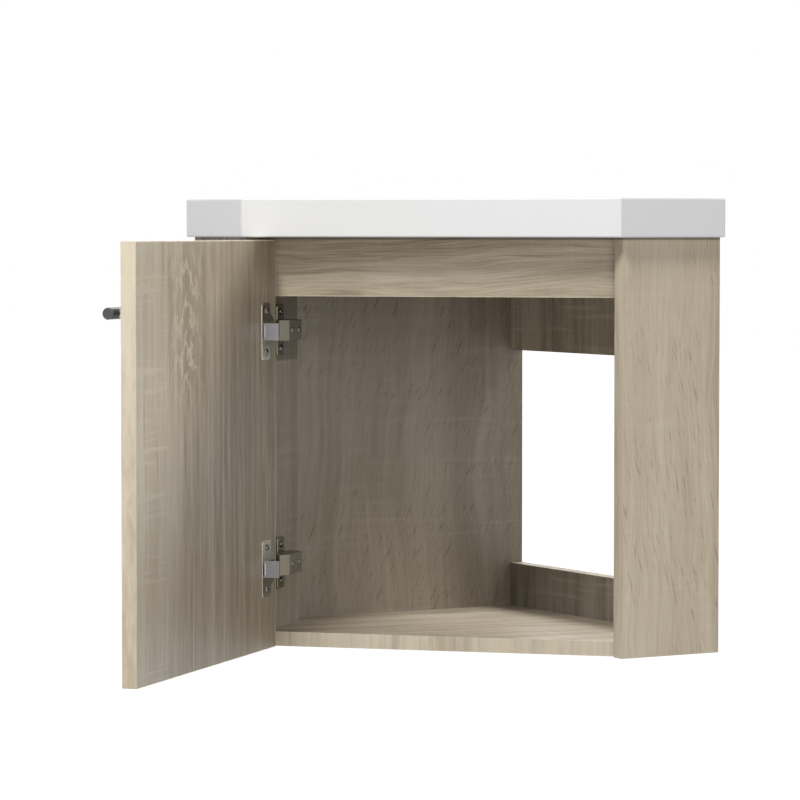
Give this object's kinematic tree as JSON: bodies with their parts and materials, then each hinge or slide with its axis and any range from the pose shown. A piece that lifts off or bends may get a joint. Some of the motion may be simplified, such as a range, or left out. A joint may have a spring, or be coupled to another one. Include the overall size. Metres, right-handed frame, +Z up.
{
  "type": "corner vanity unit",
  "caption": "Wall-hung corner vanity: a five-sided wood-grain cabinet with a cast corner basin on top and a hinged door with a bar handle, drawn with the door open.",
  "frame": {"origin": "the vertical line where the two room walls meet, at the height of the cabinet's underside", "axes": "+Z up; the front faces -Y; the two walls run from the origin towards +X-Y and -X-Y"},
  "size_m": [0.6124, 0.7632, 0.492],
  "materials": {
    "oak_board": "melamine-faced chipboard in pale grey-beige oak, satin",
    "edge_band": "edge band in the same oak",
    "basin_cast": "white gloss gel coat over mineral cast",
    "chrome_trim": "polished chrome plate",
    "beech_dowel": "plain beech",
    "zinc_cam": "die-cast zinc, bare",
    "hinge_steel": "nickel-plated pressed steel"
  },
  "bodies": {
    "carcass": {"basin": "basin_cast", "overflow_ring": "chrome_trim", "left_side_panel": "oak_board", "right_side_panel": "oak_board", "left_back_panel": "oak_board", "rear_top_rail": "oak_board", "rear_bottom_rail": "oak_board", "floor_panel": "oak_board", "front_apron": "oak_board", "hinge_stile": "oak_board", "carcass_edge_bands": "edge_band", "dowels": "beech_dowel", "cam_locks": "zinc_cam", "cam_bolts": "hinge_steel", "upper_hinge_plate": "hinge_steel", "lower_hinge_plate": "hinge_steel", "upper_hinge_arm": "hinge_steel", "lower_hinge_arm": "hinge_steel", "hinge_plate_screws": "hinge_steel", "hinge_adjust_screws": "hinge_steel", "hinge_arm_pins": "hinge_steel"},
    "hinge_links": {"upper_hinge_link": "hinge_steel", "lower_hinge_link": "hinge_steel"},
    "door": {"upper_hinge_cup": "hinge_steel", "lower_hinge_cup": "hinge_steel", "hinge_cup_screws": "hinge_steel", "hinge_cup_pins": "hinge_steel", "door_panel": "oak_board", "door_edge_bands": "edge_band", "handle_bar": "chrome_trim", "handle_posts": "chrome_trim", "handle_studs": "hinge_steel"}
  },
  "joints": [
    {"name": "link_swing", "type": "hinge", "parent": "carcass", "child": "hinge_links", "pos_m": [-0.1863, -0.37889, 0.218], "axis": [0, 0, 1], "range_deg": [-6.2, 115.94]},
    {"name": "door_swing", "type": "hinge", "parent": "hinge_links", "child": "door", "pos_m": [-0.18564, -0.39422, 0.218], "axis": [0, 0, -1], "range_deg": [-1.2, 22.44]}
  ],
  "couplings": [
    {"joint": "door_swing", "follows": "link_swing", "ratio": 0.19355}
  ]
}
